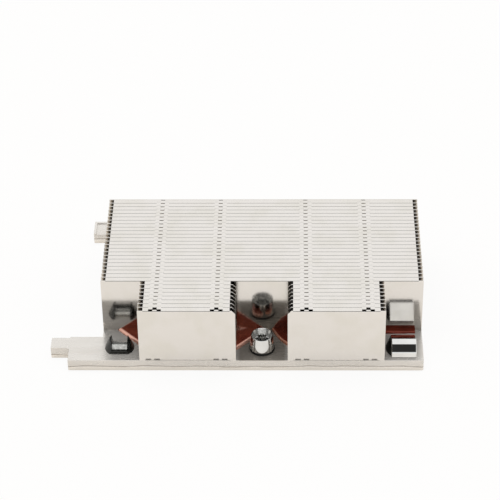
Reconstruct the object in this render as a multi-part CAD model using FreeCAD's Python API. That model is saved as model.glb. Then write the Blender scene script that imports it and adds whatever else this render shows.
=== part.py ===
"""Passive 1U server CPU heatsink: a two-layer base, two flattened heat pipes let into it, a stack of
folded and interlocked sheet fins, two captive six-lobe nuts and four corner catches.

Millimetres. +Z up, +X along the long side, -Y the notched front. The origin is the middle of the
contact face underneath, so the base rests on Z = 0."""

import math
import os

import FreeCAD
import Part

# ---- overall sizes -----------------------------------------------------------------------------
LENGTH = 108.0  # along X
DEPTH = 78.0  # along Y
HEIGHT = 25.5  # contact face to fin tops, the 1U class
LOWER_LAYER = 1.7
UPPER_LAYER = 2.7
PLATE_TOP = LOWER_LAYER + UPPER_LAYER
FRONT = -DEPTH / 2
REAR = DEPTH / 2
EDGE = LENGTH / 2
PLATE_CORNER_R = 0.6

# ---- fin stack ---------------------------------------------------------------------------------
PITCH = 2.0
FRONT_ROWS = 8  # rows beside the front notches
REAR_SHELF = 16.0  # bare base behind the rows
FULL_ROWS = int((DEPTH - REAR_SHELF) / PITCH - FRONT_ROWS)  # as wide as the base
SHEET = 0.4
FOLD = 0.45  # bevel of each fold
FLANGE_GAP = 0.05  # flange end to the next sheet
SIDE_LIP = 1.7  # bare sheet beyond the flanges at each side
MIDDLE_NOTCH = 17.2  # between the front blocks
CORNER_NOTCH = 13.1  # at each front corner
BLOCK_INNER = MIDDLE_NOTCH / 2
BLOCK_OUTER = EDGE - CORNER_NOTCH
BLOCK_CHAMFER = 1.2
WALL = FRONT + FRONT_ROWS * PITCH  # front face of the first full row
STACK_REAR = WALL + FULL_ROWS * PITCH

# ---- interlocks of the fin stack ---------------------------------------------------------------
TOP_LOCKS = (-35.1, -14.8, 14.8, 35.1)
TOP_SLOT_IN = 0.7  # half the bridge between the two ear slots
TOP_SLOT_OUT = 2.1
SLOT_DEEP = 0.75
WINDOW_WIDE = 1.4
WINDOW_DEEP = 0.6  # from the flange's back edge
LEADING_WINDOW_DEEP = 1.15
FOOT_LOCKS = (-36.4, -13.8, 13.5, 36.1)
FOOT_SLOT_IN = 0.5
FOOT_SLOT_OUT = 2.35
FOOT_SLOT_HIGH = 0.75

# ---- heat pipes --------------------------------------------------------------------------------
PIPE_WIDE = 7.5
PIPE_HIGH = 2.8
PIPE_PROUD = 0.9  # above the plate
PIPE_FIT = 0.1
PIPE_ROLL = 0.3  # how much of its height its upper sides roll over
PIPE_BEND_R = 11.0
PIPE_REAR_IN = 5.0  # rear ends, from the back of the stack
LEFT_LEG_IN = 5.5  # middle of the leg, from the base's left end
LEFT_LEG_TURN = 4.9  # corner, behind the first full row
LEFT_RUN_BACK = 2.4  # front side of the run, from the base's front
LEFT_RUN_IN = 6.5  # corner, from the block's outer side
LEFT_RUN_OUT = 4.6  # corner, from the block's inner side
LEFT_TIP_X = -2.0
LEFT_TIP_BACK = 1.7  # behind the first full row
RIGHT_LEG_X = 5.6
RIGHT_LEG_TURN = 3.6  # corner, behind the first full row
RIGHT_BOW_IN = 5.5  # corner, from the block's inner side
RIGHT_BOW_BACK = 3.0  # corner, from the base's front
RIGHT_RUN_IN = 4.9  # corner, from the block's outer side
RIGHT_RUN_SHOWS = 1.85  # front side of the run, before the first full row
RIGHT_TIP_IN = 2.3  # round end, from the base's right end
ARCH_FIT = 0.3  # fin cut-out over the pipe

# ---- captive nuts ------------------------------------------------------------------------------
HARDWARE_INSET = 6.4  # nuts and corner catches, from the base's edges
HARDWARE_Y = DEPTH / 2 - HARDWARE_INSET
NUT_R = 3.9
NUT_HIGH = 5.9
MOUTH_R = 3.1
MOUTH_DEEP = 1.1
DRIVE_TIP_R = 2.35
DRIVE_ROOT_R = 1.65
DRIVE_DEEP = 3.0
SHANK_R = 3.0
SHANK_FIT = 0.06
STUD_R = 2.0
STUD_DEEP = 5.2
WASHER_R = 4.25
WASHER_THICK = 0.6
TURN_GAP = 0.1  # everything that turns with the nut, from the base
COLLAR_R = 3.7  # the shank's lower end, spread after it is put in
COLLAR_THICK = 0.9
COLLAR_POCKET_R = 4.0
COLLAR_POCKET_DEEP = COLLAR_THICK + 3 * TURN_GAP

# ---- corner catches ----------------------------------------------------------------------------
CATCH_FIT = 0.05
TALL_IN = 2.4  # from the base's right end
TALL_LONG = 8.3
TALL_X1 = EDGE - TALL_IN
TALL_X0 = TALL_X1 - TALL_LONG
TALL_TOE = 1.45  # from the plate's long edge
TALL_RISE = 2.1
TALL_BEVEL = 3.0
TALL_BEVEL_TILT = 42.0  # degrees
TALL_CROWN = 3.15
TALL_CROWN_TILT = -4.0
TALL_SLOPE = 6.1
TALL_SLOPE_TILT = -37.3  # down towards the fins
TALL_CHEEK_R = 6.0
TALL_CHEEK_TOP_R = 4.7
TALL_CHEEK_HIGH = 3.7
LOW_IN = 6.1  # middle of the clip, from the base's left end
LOW_X = -EDGE + LOW_IN
LOW_BACK = 0.5  # middle of the clip, from the line of the nuts
LOW_Y = HARDWARE_Y - LOW_BACK
LOW_LONG = 5.3
LOW_HOOD_HIGH = 0.4
LOW_CLIP_R = 5.0
LOW_CLIP_TOP_R = 3.4
LOW_CLIP_HIGH = 3.6
LOW_CLIP_SIDES = 16
LOW_CLIP_DEEP = 7.2  # across its two flats, which face front and rear
LOW_BAND_WIDE = 1.0  # joins the clip's two arms at both flats
LOW_BAND_HIGH = 1.1

# ---- side tabs of the base ---------------------------------------------------------------------
TAB_REACH = 11.0
TAB_LONG = 12.3
TAB_REAR = FRONT + TAB_LONG
FINGER_REACH = 17.2
FINGER_STEP = 0.5  # from the tab's rear side
FINGER_REAR = TAB_REAR - FINGER_STEP
FINGER_LONG = 5.4
FINGER_FRONT = FINGER_REAR - FINGER_LONG
FINGER_FILLET = 1.2
REAR_TAB_REACH = 7.3
REAR_TAB_STEP = 0.4  # from the base's rear edge
REAR_TAB_REAR = REAR - REAR_TAB_STEP
REAR_TAB_LONG = 7.2
REAR_TAB_FRONT = REAR_TAB_REAR - REAR_TAB_LONG
REAR_POCKET_LIP = 0.9  # rim left at the back and the end of its sunken top
REAR_POCKET_DEEP = 0.5

ALONG_X = FreeCAD.Vector(1, 0, 0)
UP = FreeCAD.Vector(0, 0, 1)


def vec(x, y, z):
    return FreeCAD.Vector(x, y, z)


def block(x0, x1, y0, y1, z0, z1):
    """Box between two corners."""
    return Part.makeBox(x1 - x0, y1 - y0, z1 - z0, vec(x0, y0, z0))


def post(x, y, z0, z1, radius):
    """Upright cylinder."""
    return Part.makeCylinder(radius, z1 - z0, vec(x, y, z0), UP)


def upright_edges(shape, x, y):
    """Vertical edges of a shape that stand at one place in plan."""
    found = []
    for edge in shape.Edges:
        ends = [v.Point for v in edge.Vertexes]
        if len(ends) == 2 and all(math.hypot(p.x - x, p.y - y) < 1e-4 for p in ends):
            found.append(edge)
    return found


# ---- heat pipes --------------------------------------------------------------------------------
def pipe_route(side):
    """Corners of one heat pipe's centre line, from its rear end, at the level of its middle."""
    z = PLATE_TOP + PIPE_PROUD - PIPE_HIGH / 2
    half = PIPE_WIDE / 2
    rear = STACK_REAR - PIPE_REAR_IN
    if side == "left":
        leg, run = -EDGE + LEFT_LEG_IN, FRONT + LEFT_RUN_BACK + half
        spots = (
            (leg, rear),
            (leg, WALL + LEFT_LEG_TURN),
            (-BLOCK_OUTER + LEFT_RUN_IN, run),
            (-BLOCK_INNER - LEFT_RUN_OUT, run),
            (LEFT_TIP_X, WALL + LEFT_TIP_BACK),
        )
    else:
        run = WALL - RIGHT_RUN_SHOWS + half
        spots = (
            (RIGHT_LEG_X, rear),
            (RIGHT_LEG_X, WALL + RIGHT_LEG_TURN),
            (BLOCK_INNER + RIGHT_BOW_IN, FRONT + RIGHT_BOW_BACK),
            (BLOCK_OUTER - RIGHT_RUN_IN, run),
            (EDGE - RIGHT_TIP_IN - half, run),
        )
    return [vec(x, y, z) for x, y in spots]


def placed(section, spot, heading):
    """A section drawn round the origin in the XZ plane, set square across a heading."""
    copy = section.copy()
    copy.rotate(vec(0, 0, 0), UP, math.degrees(math.atan2(heading.y, heading.x)) - 90)
    copy.translate(spot)
    return copy


def follow(route, section, radius):
    """Solid that carries a flat section along a level route, with every corner rounded."""
    solids = []
    start = route[0]
    for before, corner, after in zip(route, route[1:], route[2:]):
        into = (corner - before).normalize()
        out = (after - corner).normalize()
        turn = math.degrees(math.acos(max(-1.0, min(1.0, into.dot(out)))))
        side = 1 if into.cross(out).z > 0 else -1
        first = corner - into * (radius * math.tan(math.radians(turn / 2)))
        last = corner + out * (radius * math.tan(math.radians(turn / 2)))
        centre = first + UP.cross(into) * (radius * side)
        solids.append(placed(section, start, into).extrude(first - start))
        solids.append(placed(section, first, into).revolve(centre, UP * side, turn))
        start = last
    solids.append(placed(section, start, route[-1] - start).extrude(route[-1] - start))
    return solids[0].fuse(solids[1:]).removeSplitter()


def flat_tube_corners(wide, high):
    """Right-hand half of a tube pressed into its groove: square below, its side rolled over above."""
    x, z = wide / 2, high / 2
    roll = high * PIPE_ROLL
    return [(x, -z), (x, z - roll), (x - roll, z)]


def face_of(points):
    """Flat face in the XZ plane with these corners."""
    return Part.Face(Part.makePolygon([vec(x, 0, z) for x, z in points + points[:1]]))


def heat_pipe(side):
    """One flattened copper pipe with a round pinched tip at its front end."""
    half = flat_tube_corners(PIPE_WIDE, PIPE_HIGH)
    section = face_of(half + [(-x, z) for x, z in reversed(half)])
    route = pipe_route(side)
    body = follow(route, section, PIPE_BEND_R)
    tip = face_of([(0, -PIPE_HIGH / 2)] + half + [(0, PIPE_HIGH / 2)])
    turned = placed(tip, route[-1], route[-1] - route[-2]).revolve(route[-1], UP, 180)
    return body.fuse(turned).removeSplitter()


def pipe_channel(side, fit, z0, z1):
    """Square-sided space that holds a pipe, wider than it by the fit all round."""
    half = PIPE_WIDE / 2 + fit
    section = face_of([(-half, 0), (half, 0), (half, z1 - z0), (-half, z1 - z0)])
    route = [vec(p.x, p.y, z0) for p in pipe_route(side)]
    route[0] = route[0] + vec(0, fit, 0)
    body = follow(route, section, PIPE_BEND_R)
    return body.fuse(post(route[-1].x, route[-1].y, z0, z1, half)).removeSplitter()


# ---- base --------------------------------------------------------------------------------------
def base_outline(z0, z1):
    """One layer of the base with its three left-hand tabs."""
    layer = block(-EDGE, EDGE, FRONT, REAR, z0, z1)
    sharp = upright_edges(layer, EDGE, FRONT) + upright_edges(layer, EDGE, REAR)
    layer = layer.makeFillet(PLATE_CORNER_R, sharp)
    tab = block(-EDGE - TAB_REACH, -EDGE + 1, FRONT, TAB_REAR, z0, z1)
    finger = block(-EDGE - FINGER_REACH, -EDGE + 1, FINGER_FRONT, FINGER_REAR, z0, z1)
    rear_tab = block(-EDGE - REAR_TAB_REACH, -EDGE + 1, REAR_TAB_FRONT, REAR_TAB_REAR, z0, z1)
    layer = layer.fuse([tab, finger, rear_tab]).removeSplitter()
    inner = upright_edges(layer, -EDGE - TAB_REACH, FINGER_FRONT)
    return layer.makeFillet(FINGER_FILLET, inner)


def base_upper():
    """Upper layer: grooves for the pipes and the two nut holes."""
    layer = base_outline(LOWER_LAYER, PLATE_TOP)
    floor = PLATE_TOP + PIPE_PROUD - PIPE_HIGH
    for side in ("left", "right"):
        layer = layer.cut(pipe_channel(side, PIPE_FIT, floor, PLATE_TOP + 1))
    for y in (-HARDWARE_Y, HARDWARE_Y):
        layer = layer.cut(post(0, y, 0, PLATE_TOP + 1, SHANK_R + SHANK_FIT))
    return layer.cut(rear_tab_pocket())


def rear_tab_pocket():
    """Sunken top of the rear tab, open to the front, with a rim at its back and its end."""
    x0 = -EDGE - REAR_TAB_REACH + REAR_POCKET_LIP
    y1 = REAR_TAB_REAR - REAR_POCKET_LIP
    return block(x0, -EDGE, REAR_TAB_FRONT - 1, y1, PLATE_TOP - REAR_POCKET_DEEP, HEIGHT)


def base_lower():
    """Lower layer: carries the contact face, with a pocket for each nut's collar."""
    layer = base_outline(0, LOWER_LAYER)
    for y in (-HARDWARE_Y, HARDWARE_Y):
        layer = layer.cut(post(0, y, -1, PLATE_TOP, SHANK_R + SHANK_FIT))
        layer = layer.cut(post(0, y, -1, COLLAR_POCKET_DEEP, COLLAR_POCKET_R))
    return layer


# ---- fins --------------------------------------------------------------------------------------
def folded_profile(y):
    """Side view of one fin: an upright sheet with a flange folded back at the top and the foot."""
    back, inner = y + PITCH - FLANGE_GAP, y + SHEET
    z0, z1, r = PLATE_TOP, HEIGHT, FOLD
    corners = [(back, z1), (y + r, z1), (y, z1 - r), (y, z0 + r), (y + r, z0), (back, z0)]
    corners += [(back, z0 + SHEET), (inner, z0 + SHEET), (inner, z1 - SHEET), (back, z1 - SHEET)]
    return Part.Face(Part.makePolygon([vec(0, a, b) for a, b in corners + corners[:1]]))


def lock_cuts(x0, x1, y, leading):
    """Openings of the interlocks in one fin: a notch in its top flange for each line of locks.
    A leading fin has nothing before it, so its ear slots above and below stand open as well."""
    cuts = []
    roof, foot = HEIGHT - SHEET - 0.2, PLATE_TOP - 1
    for x in TOP_LOCKS:
        if x0 < x < x1:
            half = WINDOW_WIDE / 2
            start = y + PITCH - (LEADING_WINDOW_DEEP if leading else WINDOW_DEEP)
            cuts.append(block(x - half, x + half, start, y + PITCH, roof, HEIGHT + 1))
            if leading:
                for a, b in slot_pair(x, TOP_SLOT_IN, TOP_SLOT_OUT):
                    cuts.append(block(a, b, y - 1, y + SLOT_DEEP, roof, HEIGHT + 1))
    for x in FOOT_LOCKS:
        if leading and x0 < x < x1:
            for a, b in slot_pair(x, FOOT_SLOT_IN, FOOT_SLOT_OUT):
                cuts.append(block(a, b, y - 1, y + SLOT_DEEP, foot, PLATE_TOP + FOOT_SLOT_HIGH))
    return cuts


def slot_pair(x, inner, outer):
    """Widths of two slots standing either side of x."""
    return (x - outer, x - inner), (x + inner, x + outer)


def pipe_arches(y, channels):
    """Cut-outs of one fin row over the pipes: high ones in its sheet, low ones in its foot flange."""
    sheet_end = y + SHEET + FOLD
    arch_top = PLATE_TOP + PIPE_PROUD + ARCH_FIT
    flange_top = PLATE_TOP + SHEET + FOLD
    arches = span_cuts(channels, y, sheet_end, y - 1, arch_top)
    return arches + span_cuts(channels, sheet_end, y + PITCH, sheet_end, flange_top)


def span_cuts(channels, y0, y1, cut_from, top):
    """Boxes as wide as whatever part of the pipes' channels lies between y0 and y1."""
    slab = block(-EDGE - 1, EDGE + 1, y0, y1, PLATE_TOP - 1, HEIGHT)
    cuts = []
    for channel in channels:
        for piece in channel.common(slab).Solids:
            box = piece.BoundBox
            cuts.append(block(box.XMin, box.XMax, cut_from, y1 + 0.01, PLATE_TOP - 1, top))
    return cuts


def fin(x0, x1, y, channels, chamfered=None, leading=False):
    """One folded fin from x0 to x1 with its front face at y. A scrap of foot flange that its
    arches cut free is left out."""
    flange = folded_profile(y).extrude(ALONG_X * (x1 - x0 - 2 * SIDE_LIP))
    flange.translate(vec(x0 + SIDE_LIP, 0, 0))
    lips = [block(a, a + SIDE_LIP, y, y + SHEET, PLATE_TOP, HEIGHT) for a in (x0, x1 - SIDE_LIP)]
    cuts = lock_cuts(x0, x1, y, leading) + pipe_arches(y, channels)
    if chamfered:
        cuts.append(corner_cut(chamfered, y))
    made = flange.fuse(lips).cut(cuts).removeSplitter()
    return max(made.Solids, key=lambda solid: solid.Volume)


def corner_cut(x, y):
    """Bevel of a front block's top corner beside the middle notch."""
    side = 1 if x > 0 else -1
    reach = BLOCK_CHAMFER
    flat = Part.makePolygon(
        [
            vec(x - side, y - 1, HEIGHT + 1),
            vec(x + side * (reach + 1), y - 1, HEIGHT + 1),
            vec(x - side, y - 1, HEIGHT - reach - 1),
            vec(x - side, y - 1, HEIGHT + 1),
        ]
    )
    return Part.Face(flat).extrude(vec(0, PITCH + 2, 0))


def fin_stack():
    """All fins, front blocks first, each under its own name, and the plain sheet that ends them."""
    top = PLATE_TOP + PIPE_PROUD + ARCH_FIT
    channels = [pipe_channel(side, ARCH_FIT, PLATE_TOP - 0.5, top) for side in ("left", "right")]
    fins = {}
    for row in range(FRONT_ROWS):
        y, number, leading = FRONT + row * PITCH, row + 1, row == 0
        left = fin(-BLOCK_OUTER, -BLOCK_INNER, y, channels, -BLOCK_INNER, leading)
        right = fin(BLOCK_INNER, BLOCK_OUTER, y, channels, BLOCK_INNER, leading)
        fins["fin_front_left_%02d" % number] = left
        fins["fin_front_right_%02d" % number] = right
    for row in range(FULL_ROWS):
        y = WALL + row * PITCH
        fins["fin_full_%02d" % (row + 1)] = fin(-EDGE, EDGE, y, channels)
    fins["fin_end"] = block(-EDGE, EDGE, STACK_REAR, STACK_REAR + SHEET, PLATE_TOP, HEIGHT)
    return fins


# ---- captive nuts ------------------------------------------------------------------------------
def nut(y):
    """Captive nut: round head with a six-point recess, and a shank kept in the base by a collar."""
    seat = PLATE_TOP + TURN_GAP + WASHER_THICK
    crown = PLATE_TOP + NUT_HIGH
    head = post(0, y, seat, crown, NUT_R)
    shank = post(0, y, TURN_GAP, seat + 0.2, SHANK_R)
    collar = post(0, y, TURN_GAP, TURN_GAP + COLLAR_THICK, COLLAR_R)
    body = head.fuse([shank, collar]).cut(post(0, y, -1, STUD_DEEP, STUD_R))
    mouth = post(0, y, crown - MOUTH_DEEP, crown + 1, MOUTH_R)
    return body.cut(mouth).cut(six_points(y, crown))


def six_points(y, crown):
    """Six-pointed drive recess, sunk from the nut's mouth."""
    z0 = crown - MOUTH_DEEP - DRIVE_DEEP
    ring = []
    for i in range(13):
        turn = math.radians(30 * i)
        r = DRIVE_TIP_R if i % 2 == 0 else DRIVE_ROOT_R
        ring.append(vec(r * math.cos(turn), y + r * math.sin(turn), z0))
    return Part.Face(Part.makePolygon(ring)).extrude(UP * (crown - z0))


def nut_washer(y):
    """Black washer under the nut's head."""
    z0 = PLATE_TOP + TURN_GAP
    washer = post(0, y, z0, z0 + WASHER_THICK, WASHER_R)
    return washer.cut(post(0, y, 0, HEIGHT, SHANK_R))


# ---- corner catches ----------------------------------------------------------------------------
def hood(x0, x1, toe, inward, rise, spans):
    """Folded hood of a catch: upright outer face, then the tilted spans up and down over it."""
    y, z = toe, PLATE_TOP + rise
    corners = [(toe, PLATE_TOP), (y, z)]
    for long, tilt in spans:
        y += inward * long * math.cos(math.radians(tilt))
        z += long * math.sin(math.radians(tilt))
        corners.append((y, z))
    corners.append((y, PLATE_TOP))
    outline = Part.makePolygon([vec(x0, a, b) for a, b in corners + corners[:1]])
    return Part.Face(outline).extrude(ALONG_X * (x1 - x0))


def tall_catch(outer):
    """Tall hood near the plate's long edge, and the cheek on its side towards the fins."""
    spans = (
        (TALL_BEVEL, TALL_BEVEL_TILT),
        (TALL_CROWN, TALL_CROWN_TILT),
        (TALL_SLOPE, TALL_SLOPE_TILT),
    )
    toe = outer * (DEPTH / 2 - TALL_TOE)
    cover = hood(TALL_X0, TALL_X1, toe, -outer, TALL_RISE, spans)
    box = cover.BoundBox
    middle = vec((box.XMin + box.XMax) / 2, (box.YMin + box.YMax) / 2, PLATE_TOP)
    cone = Part.makeCone(TALL_CHEEK_R, TALL_CHEEK_TOP_R, TALL_CHEEK_HIGH, middle, UP)
    cheek = cone.cut(block(TALL_X0 - CATCH_FIT, EDGE, -DEPTH, DEPTH, 0, HEIGHT))
    return cover, cheek


def many_sided(x, y, z, radius):
    """Level outline with equal sides round one spot."""
    ring = []
    for i in range(LOW_CLIP_SIDES + 1):
        turn = 2 * math.pi * (i + 0.5) / LOW_CLIP_SIDES
        ring.append(vec(x + radius * math.cos(turn), y + radius * math.sin(turn), z))
    return Part.makePolygon(ring)


def low_catch(outer):
    """Low flat hood, and the clip round it: two tapered arms joined by a band at both flats."""
    y, half = outer * LOW_Y, LOW_LONG / 2
    flat = LOW_CLIP_DEEP / 2
    deep = flat - LOW_BAND_WIDE - CATCH_FIT
    top = PLATE_TOP + LOW_HOOD_HIGH
    cover = block(LOW_X - half, LOW_X + half, y - deep, y + deep, PLATE_TOP, top)
    foot = many_sided(LOW_X, y, PLATE_TOP, LOW_CLIP_R)
    crest = many_sided(LOW_X, y, PLATE_TOP + LOW_CLIP_HIGH, LOW_CLIP_TOP_R)
    clip = Part.makeLoft([foot, crest], True, True)
    clip = clip.common(block(-LENGTH, 0, y - flat, y + flat, PLATE_TOP, HEIGHT))
    x0, x1 = LOW_X - half - CATCH_FIT, LOW_X + half + CATCH_FIT
    inside = flat - LOW_BAND_WIDE
    clip = clip.cut(block(x0, x1, y - inside, y + inside, 0, HEIGHT))
    return cover, clip.cut(block(x0, x1, y - flat, y + flat, PLATE_TOP + LOW_BAND_HIGH, HEIGHT))


def catches():
    """Four corner catches: low ones on the left, tall ones on the right."""
    made = {}
    for end, outer in (("front", -1), ("rear", 1)):
        low, clip = low_catch(outer)
        tall, cheek = tall_catch(outer)
        made["catch_hood_%s_left" % end] = low
        made["catch_clip_%s_left" % end] = clip
        made["catch_hood_%s_right" % end] = tall
        made["catch_cheek_%s_right" % end] = cheek
    return made


def build():
    """Every node of the heatsink by name."""
    nodes = {
        "base_upper": base_upper(),
        "base_lower": base_lower(),
        "heat_pipe_left": heat_pipe("left"),
        "heat_pipe_right": heat_pipe("right"),
    }
    for end, y in (("front", -HARDWARE_Y), ("rear", HARDWARE_Y)):
        nodes["nut_" + end] = nut(y)
        nodes["nut_washer_" + end] = nut_washer(y)
    nodes.update(catches())
    nodes.update(fin_stack())
    return nodes


os.makedirs("parts", exist_ok=True)
for name, shape in build().items():
    shape.exportStep("parts/%s.step" % name)
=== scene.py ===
"""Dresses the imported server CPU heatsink: finishes, finer pieces, studio and camera."""

import logging
import math
from dataclasses import dataclass, replace
from enum import Enum

import bmesh
import bpy
from bpy.types import Material, Node, NodeSocket, NodeTree, Object
from mathutils import Euler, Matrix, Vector


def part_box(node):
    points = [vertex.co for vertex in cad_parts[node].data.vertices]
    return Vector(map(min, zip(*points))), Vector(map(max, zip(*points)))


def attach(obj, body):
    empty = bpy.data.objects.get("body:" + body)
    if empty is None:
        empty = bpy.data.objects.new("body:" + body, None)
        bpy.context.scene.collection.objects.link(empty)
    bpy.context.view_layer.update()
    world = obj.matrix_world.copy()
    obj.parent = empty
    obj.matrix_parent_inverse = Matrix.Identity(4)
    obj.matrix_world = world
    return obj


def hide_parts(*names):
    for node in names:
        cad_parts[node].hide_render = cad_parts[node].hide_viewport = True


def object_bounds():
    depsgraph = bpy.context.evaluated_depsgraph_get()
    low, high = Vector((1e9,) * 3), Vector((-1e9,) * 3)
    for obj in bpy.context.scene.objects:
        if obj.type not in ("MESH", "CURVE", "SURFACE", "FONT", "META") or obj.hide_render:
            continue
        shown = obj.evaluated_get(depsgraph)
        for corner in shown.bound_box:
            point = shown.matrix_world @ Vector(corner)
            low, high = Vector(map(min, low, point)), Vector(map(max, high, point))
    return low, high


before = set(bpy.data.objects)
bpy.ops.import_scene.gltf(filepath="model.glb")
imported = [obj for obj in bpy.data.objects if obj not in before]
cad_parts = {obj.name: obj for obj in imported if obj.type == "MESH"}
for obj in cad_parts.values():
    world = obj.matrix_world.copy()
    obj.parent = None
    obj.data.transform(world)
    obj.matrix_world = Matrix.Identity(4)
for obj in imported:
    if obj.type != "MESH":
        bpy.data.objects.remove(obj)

LOG = logging.getLogger("heatsink")
MM = 0.001
CAD_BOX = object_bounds()
WHITE = (1.0, 1.0, 1.0, 1.0)
FAR_MM = 99.0

Feed = Node | NodeSocket
Sockets = bpy.types.NodeOutputs
Pair = tuple[float, float]
Point = tuple[float, float, float]
Station = tuple[float, float, float, float]
Corner = tuple[int | str, int]
Cell = tuple[Corner, ...]
Face = tuple[int, ...]


# ---- small helpers ------------------------------------------------------------------------------
class Side(Enum):
    """The two sides of the heatsink."""

    LEFT = "left"
    RIGHT = "right"


def linear(hex_colour: str) -> tuple[float, float, float, float]:
    """Turns an sRGB hex colour into linear light.

    Args:
        hex_colour: six hex digits, such as "C8C2B8".

    Returns:
        Red, green, blue and alpha in linear light.
    """
    parts = [int(hex_colour[i : i + 2], 16) / 255 for i in (0, 2, 4)]
    r, g, b = (c / 12.92 if c <= 0.04045 else ((c + 0.055) / 1.055) ** 2.4 for c in parts)
    return (r, g, b, 1.0)


def add_node(
    tree: NodeTree,
    kind: str,
    links: dict[str | int, Feed] | None = None,
    values: dict[str | int, object] | None = None,
    **settings: object,
) -> Node:
    """Adds one node with its settings, its inputs' values and its links.

    Args:
        tree: the node tree to add to.
        kind: the node's Blender type name.
        links: what feeds an input, by its name or index: a socket, or a node's first output.
        values: default values of inputs, by socket name or index.
        settings: attributes of the node itself.

    Returns:
        The new node.
    """
    node = tree.nodes.new(kind)
    for name, value in settings.items():
        setattr(node, name, value)
    for name, value in (values or {}).items():
        node.inputs[name].default_value = value
    for name, feed in (links or {}).items():
        socket = feed.outputs[0] if isinstance(feed, Node) else feed
        tree.links.new(socket, node.inputs[name])
    return node


@dataclass(frozen=True)
class Ramp:
    """A share that rises from nothing at one value of its feed to full at another."""

    feed: Feed
    none_at: float
    full_at: float
    ease: str = "LINEAR"


def where_all(tree: NodeTree, *ramps: Ramp) -> Node:
    """Multiplies ramps into one share, which is full only where every ramp is.

    Args:
        tree: the node tree to add to.
        ramps: the ramps, at least one.

    Returns:
        The node that gives the share.
    """
    share = None
    for ramp in ramps:
        rise = add_node(
            tree,
            "ShaderNodeMapRange",
            {"Value": ramp.feed},
            values={"From Min": ramp.none_at, "From Max": ramp.full_at},
            interpolation_type=ramp.ease,
        )
        if share is not None:
            rise = add_node(tree, "ShaderNodeMath", {0: share, 1: rise}, operation="MULTIPLY")
        share = rise
    return share


def new_material(name: str) -> tuple[Material, NodeTree]:
    """Makes an empty node material.

    Args:
        name: the finish's plain name.

    Returns:
        The material and its cleared node tree.
    """
    material = bpy.data.materials.new(name)
    material.use_nodes = True
    material.node_tree.nodes.clear()
    return material, material.node_tree


def placed(name: str, data: bpy.types.ID) -> Object:
    """Puts a new object into the scene.

    Args:
        name: the object's name.
        data: its mesh, curve, lamp or camera.

    Returns:
        The object.
    """
    thing = bpy.data.objects.new(name, data)
    bpy.context.scene.collection.objects.link(thing)
    return thing


def piece_from(
    name: str, points: list[Point], faces: list[Face], smooth_deg: float = 0.0
) -> Object:
    """Makes a mesh object from points in millimetres.

    Args:
        name: the object's name.
        points: corner points in millimetres.
        faces: corner numbers of each face.
        smooth_deg: faces that meet at less than this shade as one; 0 leaves them flat.

    Returns:
        The linked object, with its place in its mesh.
    """
    mesh = bpy.data.meshes.new(name)
    mesh.from_pydata([(x * MM, y * MM, z * MM) for x, y, z in points], [], faces)
    mesh.validate()
    if smooth_deg > 0:
        mesh.shade_smooth()
        mesh.set_sharp_from_angle(angle=math.radians(smooth_deg))
    return placed(name, mesh)


def baked(piece: Object, name: str) -> Object:
    """Turns an object with live modifiers into a plain mesh object and removes the first one.

    Args:
        piece: the object to evaluate.
        name: the new object's name.

    Returns:
        The plain mesh object.
    """
    depsgraph = bpy.context.evaluated_depsgraph_get()
    mesh = bpy.data.meshes.new_from_object(piece.evaluated_get(depsgraph), depsgraph=depsgraph)
    bpy.data.objects.remove(piece)
    mesh.name = name
    return placed(name, mesh)


def new_group(name: str, inputs: dict[str, str]) -> tuple[NodeTree, Sockets]:
    """Starts a Geometry Nodes tree with a geometry input and output and named inputs.

    Args:
        name: the tree's name.
        inputs: kind of each named input, such as "Float".

    Returns:
        The tree and the sockets of its inputs.
    """
    tree = bpy.data.node_groups.new(name, "GeometryNodeTree")
    ends = [("Geometry", "INPUT", "Geometry")]
    ends += [(label, "INPUT", kind) for label, kind in inputs.items()]
    ends += [("Geometry", "OUTPUT", "Geometry")]
    for label, way, kind in ends:
        tree.interface.new_socket(label, in_out=way, socket_type="NodeSocket" + kind)
    return tree, add_node(tree, "NodeGroupInput").outputs


def end_group(tree: NodeTree, shape: Node, finish: NodeSocket) -> None:
    """Ends a Geometry Nodes tree: makes its shape real, gives it its finish and puts it out.

    Args:
        tree: the tree.
        shape: the node that gives the shape.
        finish: the material's socket.
    """
    real = add_node(tree, "GeometryNodeRealizeInstances", {"Geometry": shape})
    finished = add_node(tree, "GeometryNodeSetMaterial", {"Geometry": real, "Material": finish})
    add_node(tree, "NodeGroupOutput", {"Geometry": finished})


def apply_group(piece: Object, tree: NodeTree, values: dict[str, object]) -> None:
    """Puts a Geometry Nodes tree on an object and sets its inputs by their identifiers.

    Args:
        piece: the object that carries the tree.
        tree: the tree.
        values: the value of each named input.
    """
    modifier = piece.modifiers.new(tree.name, "NODES")
    modifier.node_group = tree
    for item in tree.interface.items_tree:
        if item.item_type == "SOCKET" and item.in_out == "INPUT" and item.name in values:
            modifier[item.identifier] = values[item.name]


def merged_copy(node: str, name: str) -> Object:
    """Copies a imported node's mesh as one closed skin.

    Args:
        node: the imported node.
        name: the new object's name.

    Returns:
        The copy, linked.
    """
    same_point, same_plane = 0.002 * MM, math.radians(0.5)
    skin = bmesh.new()
    skin.from_mesh(bpy.data.objects[node].data)
    bmesh.ops.remove_doubles(skin, verts=skin.verts, dist=same_point)
    bmesh.ops.dissolve_limit(skin, angle_limit=same_plane, verts=skin.verts, edges=skin.edges)
    mesh = bpy.data.meshes.new(name)
    skin.to_mesh(mesh)
    skin.free()
    return placed(name, mesh)


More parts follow.
